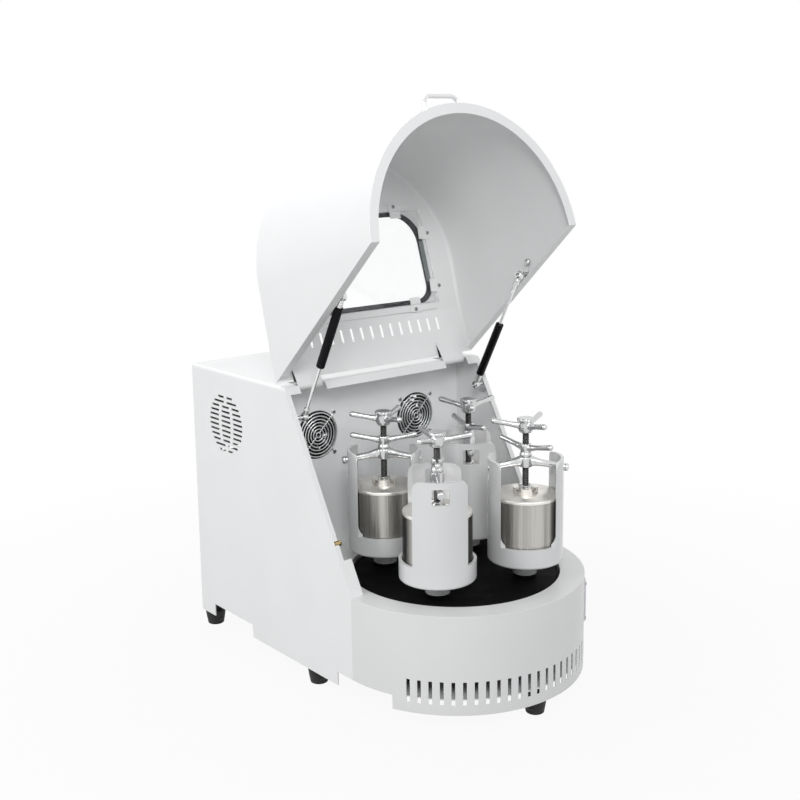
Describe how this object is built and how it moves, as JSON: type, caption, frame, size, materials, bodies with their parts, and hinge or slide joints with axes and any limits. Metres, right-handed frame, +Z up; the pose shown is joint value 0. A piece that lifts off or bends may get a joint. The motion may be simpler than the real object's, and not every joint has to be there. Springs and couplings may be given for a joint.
{
  "type": "planetary ball mill",
  "caption": "Bench planetary mill with a round front drum, a turning disc that carries clamped jars, and a hinged hood with a window on gas struts.",
  "frame": {"origin": "on the floor, at the centre of the machine's footprint", "axes": "+X to the right seen from the front, +Y to the rear, +Z up; the hood is stored open"},
  "size_m": [0.47, 0.75, 1.0463],
  "materials": {
    "white_paint": "smooth powder coat",
    "black_disc": "satin black",
    "bulkhead_paint": "smooth powder coat",
    "rubber": "matt",
    "brass": "turned",
    "zinc_steel": "bright",
    "clear": "clear sheet",
    "gasket": "matt",
    "chrome": "polished",
    "strut_black": "gloss black",
    "guard": "bright wire",
    "rotor": "matt",
    "cast": "machined",
    "shaft": "ground",
    "belt": "matt",
    "motor_paint": "painted",
    "holder_steel": "turned",
    "jar_steel": "turned",
    "clamp_steel": "turned",
    "fascia": "matt film",
    "green_button": "gloss",
    "red_button": "gloss",
    "inlet_black": "matt"
  },
  "bodies": {
    "cabinet": {"cabinet_shell": "white_paint", "front_drum": "white_paint", "chassis_pan": "white_paint", "bulkhead": "bulkhead_paint", "feet": "rubber", "stop_pins": "brass", "cabinet_brackets": "zinc_steel", "fan_guards": "guard", "bearing_housing": "cast", "motor": "motor_paint", "drive_belt": "belt", "control_panel": "fascia", "power_inlet": "inlet_black"},
    "hood": {"hood_shell": "white_paint", "window_pane": "clear", "window_gasket": "gasket", "window_clips": "zinc_steel", "hood_handle": "chrome", "hood_brackets": "zinc_steel"},
    "left_strut_lower": {"left_strut_rod": "chrome"},
    "left_strut_upper": {"left_strut_tube": "strut_black"},
    "right_strut_lower": {"right_strut_tube": "strut_black"},
    "right_strut_upper": {"right_strut_rod": "chrome"},
    "disc": {"sun_disc": "black_disc", "main_shaft": "shaft", "planet_belts": "belt"},
    "planet_1": {"jar_holder_1": "holder_steel", "jar_1": "jar_steel", "jar_lid_1": "jar_steel"},
    "yoke_1": {"clamp_yoke_1": "clamp_steel"},
    "screw_1": {"clamp_screw_1": "clamp_steel"},
    "star_1": {"star_handle_1": "clamp_steel"},
    "lock_1": {"lock_star_1": "clamp_steel"},
    "planet_2": {"jar_holder_2": "holder_steel", "jar_2": "jar_steel", "jar_lid_2": "jar_steel"},
    "yoke_2": {"clamp_yoke_2": "clamp_steel"},
    "screw_2": {"clamp_screw_2": "clamp_steel"},
    "star_2": {"star_handle_2": "clamp_steel"},
    "lock_2": {"lock_star_2": "clamp_steel"},
    "planet_3": {"jar_holder_3": "holder_steel", "jar_3": "jar_steel", "jar_lid_3": "jar_steel"},
    "yoke_3": {"clamp_yoke_3": "clamp_steel"},
    "screw_3": {"clamp_screw_3": "clamp_steel"},
    "star_3": {"star_handle_3": "clamp_steel"},
    "lock_3": {"lock_star_3": "clamp_steel"},
    "planet_4": {"jar_holder_4": "holder_steel", "jar_4": "jar_steel", "jar_lid_4": "jar_steel"},
    "yoke_4": {"clamp_yoke_4": "clamp_steel"},
    "screw_4": {"clamp_screw_4": "clamp_steel"},
    "star_4": {"star_handle_4": "clamp_steel"},
    "lock_4": {"lock_star_4": "clamp_steel"},
    "motor_drive": {"motor_pulley": "shaft"},
    "left_fan": {"left_fan_rotor": "rotor"},
    "right_fan": {"right_fan_rotor": "rotor"},
    "start": {"start_button": "green_button"},
    "stop": {"stop_button": "red_button"},
    "rocker": {"power_switch": "inlet_black"}
  },
  "joints": [
    {"name": "lid_hinge", "type": "hinge", "parent": "cabinet", "child": "hood", "pos_m": [0, 0.0596, 0.537], "axis": [1, 0, 0], "range_deg": [0, 104.6]},
    {"name": "left_strut_swing", "type": "hinge", "parent": "cabinet", "child": "left_strut_lower", "pos_m": [-0.207, 0.025, 0.488], "axis": [1, 0, 0], "range_deg": [0, 117.97]},
    {"name": "left_strut_slide", "type": "slide", "parent": "left_strut_lower", "child": "left_strut_upper", "axis": [0, -0.4681, 0.8837], "range_m": [-0.08097, 0]},
    {"name": "right_strut_swing", "type": "hinge", "parent": "cabinet", "child": "right_strut_lower", "pos_m": [0.207, 0.025, 0.488], "axis": [1, 0, 0], "range_deg": [0, 117.97]},
    {"name": "right_strut_slide", "type": "slide", "parent": "right_strut_lower", "child": "right_strut_upper", "axis": [0, -0.4681, 0.8837], "range_m": [-0.08097, 0]},
    {"name": "disc_spin", "type": "hinge", "parent": "cabinet", "child": "disc", "pos_m": [0, -0.14, 0.19], "axis": [0, 0, 1], "continuous": true},
    {"name": "planet_spin_1", "type": "hinge", "parent": "disc", "child": "planet_1", "pos_m": [-0.10533, -0.21568, 0.215], "axis": [0, 0, 1], "continuous": true},
    {"name": "yoke_turn_1", "type": "hinge", "parent": "planet_1", "child": "yoke_1", "pos_m": [-0.10533, -0.21568, 0.41], "axis": [0, 0, 1], "range_deg": [-7, 7]},
    {"name": "screw_rise_1", "type": "slide", "parent": "yoke_1", "child": "screw_1", "axis": [0, 0, 1], "range_m": [0, 0.006]},
    {"name": "star_turn_1", "type": "hinge", "parent": "screw_1", "child": "star_1", "pos_m": [-0.10533, -0.21568, 0.476], "axis": [0, 0, 1], "range_deg": [0, 720]},
    {"name": "lock_turn_1", "type": "hinge", "parent": "yoke_1", "child": "lock_1", "pos_m": [-0.10533, -0.21568, 0.432], "axis": [0, 0, 1], "range_deg": [0, 360]},
    {"name": "planet_spin_2", "type": "hinge", "parent": "disc", "child": "planet_2", "pos_m": [0.07569, -0.24533, 0.215], "axis": [0, 0, 1], "continuous": true},
    {"name": "yoke_turn_2", "type": "hinge", "parent": "planet_2", "child": "yoke_2", "pos_m": [0.07569, -0.24533, 0.41], "axis": [0, 0, 1], "range_deg": [-7, 7]},
    {"name": "screw_rise_2", "type": "slide", "parent": "yoke_2", "child": "screw_2", "axis": [0, 0, 1], "range_m": [0, 0.006]},
    {"name": "star_turn_2", "type": "hinge", "parent": "screw_2", "child": "star_2", "pos_m": [0.07569, -0.24533, 0.476], "axis": [0, 0, 1], "range_deg": [0, 720]},
    {"name": "lock_turn_2", "type": "hinge", "parent": "yoke_2", "child": "lock_2", "pos_m": [0.07569, -0.24533, 0.432], "axis": [0, 0, 1], "range_deg": [0, 360]},
    {"name": "planet_spin_3", "type": "hinge", "parent": "disc", "child": "planet_3", "pos_m": [0.10533, -0.06431, 0.215], "axis": [0, 0, 1], "continuous": true},
    {"name": "yoke_turn_3", "type": "hinge", "parent": "planet_3", "child": "yoke_3", "pos_m": [0.10533, -0.06431, 0.41], "axis": [0, 0, 1], "range_deg": [-7, 7]},
    {"name": "screw_rise_3", "type": "slide", "parent": "yoke_3", "child": "screw_3", "axis": [0, 0, 1], "range_m": [0, 0.006]},
    {"name": "star_turn_3", "type": "hinge", "parent": "screw_3", "child": "star_3", "pos_m": [0.10533, -0.06431, 0.476], "axis": [0, 0, 1], "range_deg": [0, 720]},
    {"name": "lock_turn_3", "type": "hinge", "parent": "yoke_3", "child": "lock_3", "pos_m": [0.10533, -0.06431, 0.432], "axis": [0, 0, 1], "range_deg": [0, 360]},
    {"name": "planet_spin_4", "type": "hinge", "parent": "disc", "child": "planet_4", "pos_m": [-0.07569, -0.03467, 0.215], "axis": [0, 0, 1], "continuous": true},
    {"name": "yoke_turn_4", "type": "hinge", "parent": "planet_4", "child": "yoke_4", "pos_m": [-0.07569, -0.03467, 0.41], "axis": [0, 0, 1], "range_deg": [-7, 7]},
    {"name": "screw_rise_4", "type": "slide", "parent": "yoke_4", "child": "screw_4", "axis": [0, 0, 1], "range_m": [0, 0.006]},
    {"name": "star_turn_4", "type": "hinge", "parent": "screw_4", "child": "star_4", "pos_m": [-0.07569, -0.03467, 0.476], "axis": [0, 0, 1], "range_deg": [0, 720]},
    {"name": "lock_turn_4", "type": "hinge", "parent": "yoke_4", "child": "lock_4", "pos_m": [-0.07569, -0.03467, 0.432], "axis": [0, 0, 1], "range_deg": [0, 360]},
    {"name": "motor_spin", "type": "hinge", "parent": "cabinet", "child": "motor_drive", "pos_m": [0, 0.232, 0.075], "axis": [0, 0, 1], "continuous": true},
    {"name": "left_fan_spin", "type": "hinge", "parent": "cabinet", "child": "left_fan", "pos_m": [-0.12, 0.125, 0.425], "axis": [0, 1, 0], "continuous": true},
    {"name": "right_fan_spin", "type": "hinge", "parent": "cabinet", "child": "right_fan", "pos_m": [0.12, 0.125, 0.425], "axis": [0, 1, 0], "continuous": true},
    {"name": "start_press", "type": "slide", "parent": "cabinet", "child": "start", "axis": [-0.9367, 0.3502, 0], "range_m": [0, 0.0025], "stiffness_N_per_m": 400},
    {"name": "stop_press", "type": "slide", "parent": "cabinet", "child": "stop", "axis": [-0.9367, 0.3502, 0], "range_m": [0, 0.0025], "stiffness_N_per_m": 400},
    {"name": "power_rock", "type": "hinge", "parent": "cabinet", "child": "rocker", "pos_m": [0.15, 0.36738, 0.134], "axis": [1, 0, 0], "range_deg": [0, 20]}
  ],
  "couplings": [
    {"joint": "left_strut_swing", "follows": "lid_hinge", "ratio": 1.1277},
    {"joint": "left_strut_slide", "follows": "lid_hinge", "m_per_rad": -0.04434},
    {"joint": "right_strut_swing", "follows": "lid_hinge", "ratio": 1.1277},
    {"joint": "right_strut_slide", "follows": "lid_hinge", "m_per_rad": -0.04434},
    {"joint": "planet_spin_1", "follows": "disc_spin", "ratio": -2},
    {"joint": "screw_rise_1", "follows": "star_turn_1", "m_per_rad": 0.00047746},
    {"joint": "planet_spin_2", "follows": "disc_spin", "ratio": -2},
    {"joint": "screw_rise_2", "follows": "star_turn_2", "m_per_rad": 0.00047746},
    {"joint": "planet_spin_3", "follows": "disc_spin", "ratio": -2},
    {"joint": "screw_rise_3", "follows": "star_turn_3", "m_per_rad": 0.00047746},
    {"joint": "planet_spin_4", "follows": "disc_spin", "ratio": -2},
    {"joint": "screw_rise_4", "follows": "star_turn_4", "m_per_rad": 0.00047746},
    {"joint": "motor_spin", "follows": "disc_spin", "ratio": 2.5}
  ]
}
